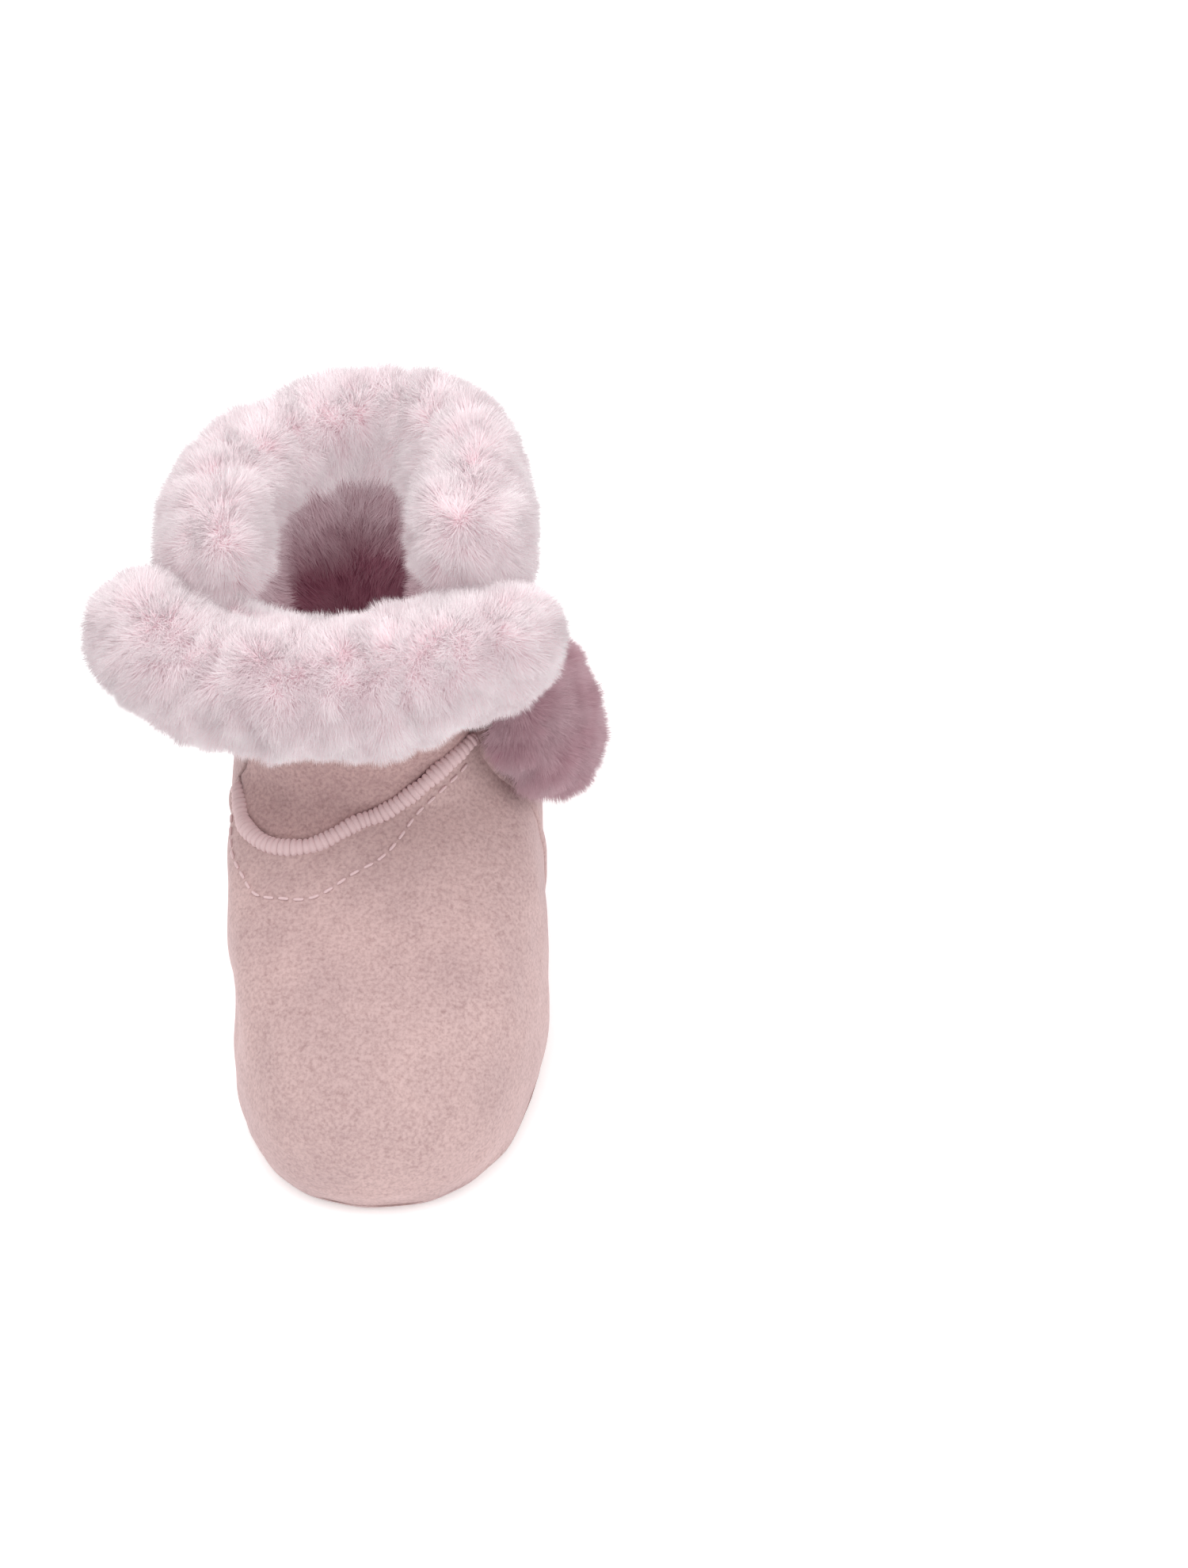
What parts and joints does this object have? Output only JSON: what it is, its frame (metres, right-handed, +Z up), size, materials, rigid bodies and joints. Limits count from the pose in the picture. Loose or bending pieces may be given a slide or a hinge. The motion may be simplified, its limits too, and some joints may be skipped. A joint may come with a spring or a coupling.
{
  "type": "baby bootie",
  "caption": "Soft suede and fleece baby bootie with an overlocked throat, folded fleece collar cuff, folding front flap and a side fastening tab.",
  "frame": {"origin": "middle of the outsole's flat bottom", "axes": "+Z up, toe towards -Y, heel towards +Y, medial side towards -X"},
  "size_m": [0.0802, 0.1238, 0.1102],
  "materials": {
    "suede": "dusty pink suede with a short nap",
    "sole_suede": "dusty pink suede, slightly worn flat",
    "fleece": "short dense mauve-pink sheepskin fleece",
    "cuff_fleece": "long combed pale pink sheepskin fleece",
    "padding": "plain felt padding",
    "thread": "lilac-pink polyester thread",
    "loop_tape": "brushed loop tape",
    "hook_tape": "moulded hook tape"
  },
  "bodies": {
    "boot": {"outsole": "sole_suede", "sole_seam_allowance": "suede", "insole_padding": "padding", "footbed_fleece": "fleece", "vamp": "suede", "vamp_lining": "fleece", "throat_overlock": "thread", "throat_topstitch": "thread", "heel_quarter": "suede", "quarter_lining": "fleece", "medial_side_seam": "thread", "lateral_side_seam": "thread", "back_seam": "thread", "collar_cuff_skin": "suede", "collar_cuff_fleece": "cuff_fleece", "loop_patch": "loop_tape"},
    "front_flap": {"flap_panel": "suede", "flap_lining": "fleece", "flap_cuff_skin": "suede", "flap_cuff_fleece": "cuff_fleece", "tab_base": "suede", "tab_base_stitches": "thread"},
    "lateral_tab": {"tab_skin": "suede", "tab_fleece": "cuff_fleece", "hook_patch": "hook_tape"}
  },
  "joints": [
    {"name": "flap_fold", "type": "hinge", "parent": "boot", "child": "front_flap", "pos_m": [0, -0.007, 0.046], "axis": [1, 0, 0], "range_deg": [0, 65]},
    {"name": "tab_swing", "type": "hinge", "parent": "front_flap", "child": "lateral_tab", "pos_m": [0.0243, 0.013, 0.06], "axis": [0.2837, 0, -0.9589], "range_deg": [0, 100]}
  ]
}
